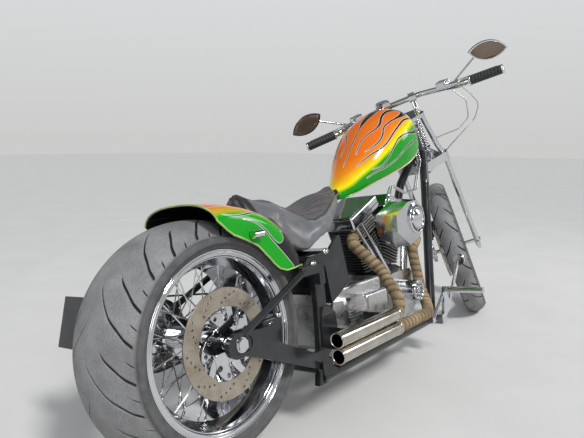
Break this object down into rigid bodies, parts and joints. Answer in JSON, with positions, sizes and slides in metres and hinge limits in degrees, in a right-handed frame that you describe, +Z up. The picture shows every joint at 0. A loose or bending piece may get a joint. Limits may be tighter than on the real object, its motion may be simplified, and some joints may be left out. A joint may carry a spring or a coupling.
{
  "type": "chopper motorcycle",
  "caption": "Low chopper motorcycle: very wide rear tyre, raked springer fork, open V-twin, flame-painted tank and fender, leaning on its side stand.",
  "frame": {"origin": "on the ground, at the middle of the bounding box seen from above", "axes": "+X forward, +Y to the rider's left, +Z up; the motorcycle leans 8.6 degrees to its left"},
  "size_m": [2.4818, 0.8132, 1.2793],
  "materials": {
    "chrome": "polished",
    "cover_aluminium": "satin",
    "disc_steel": "drilled and ground",
    "engine_black": "satin",
    "flame_paint": "gloss, orange to green with black flames",
    "frame_black": "gloss",
    "grip_rubber": "matt",
    "muffler_metal": "warm brushed",
    "pipe_wrap": "woven heat wrap",
    "seat_leather": "smooth",
    "tyre_rubber": "dusty matt"
  },
  "bodies": {
    "chassis": {"frame_backbone": "frame_black", "frame_rail_left": "frame_black", "frame_rail_right": "frame_black", "frame_cross_tubes": "frame_black", "swingarm_left": "frame_black", "swingarm_right": "frame_black", "rear_axle": "chrome", "drive_belt": "grip_rubber", "rear_caliper": "chrome", "rear_fender": "flame_paint", "seat": "seat_leather", "fuel_tank": "flame_paint", "fuel_cap": "chrome", "oil_tank": "frame_black", "crankcase": "engine_black", "cylinders": "engine_black", "cylinder_heads": "cover_aluminium", "rocker_boxes": "chrome", "timing_cover": "cover_aluminium", "oil_filter": "chrome", "pushrod_tubes": "chrome", "air_cleaner": "chrome", "carburettor": "cover_aluminium", "primary_cover": "chrome", "front_pulley": "cover_aluminium", "gearbox": "cover_aluminium", "mufflers": "muffler_metal", "exhaust_hangers": "frame_black", "exhaust_pipes": "pipe_wrap", "foot_controls": "chrome", "foot_pegs": "chrome", "plate_holder": "frame_black", "turn_signals": "chrome", "control_lines": "chrome", "stand_bracket": "frame_black"},
    "rear_wheel": {"rear_tyre": "tyre_rubber", "rear_wire_wheel": "chrome", "rear_disc_carrier": "chrome", "rear_brake_disc": "disc_steel", "rear_pulley": "chrome"},
    "steering": {"fork_legs": "chrome", "fork_trees": "chrome", "front_axle": "chrome", "fork_springs": "chrome", "handlebar": "chrome", "grips": "grip_rubber", "bar_controls": "chrome", "mirrors": "chrome", "cables": "chrome", "front_caliper": "chrome", "headlight": "chrome"},
    "front_wheel": {"front_tyre": "tyre_rubber", "front_wire_wheel": "chrome", "front_brake_disc": "disc_steel", "front_disc_carrier": "chrome"},
    "side_stand": {"side_stand": "chrome"}
  },
  "joints": [
    {"name": "rear_wheel_spin", "type": "hinge", "parent": "chassis", "child": "rear_wheel", "pos_m": [-0.91173, -0.03703, 0.32824], "axis": [-0.0008, 0.9888, -0.1494], "continuous": true},
    {"name": "steering_turn", "type": "hinge", "parent": "chassis", "child": "steering", "pos_m": [0.54064, 0.03655, 0.80741], "axis": [-0.5217, 0.127, 0.8436], "range_deg": [-54.8, 0]},
    {"name": "front_wheel_spin", "type": "hinge", "parent": "steering", "child": "front_wheel", "pos_m": [0.91233, 0.00102, 0.3314], "axis": [-0.3933, 0.8417, -0.37], "continuous": true},
    {"name": "side_stand_fold", "type": "hinge", "parent": "chassis", "child": "side_stand", "pos_m": [-0.00799, 0.12078, 0.09595], "axis": [0.0724, 0.5252, 0.8479], "range_deg": [0, 108]}
  ]
}
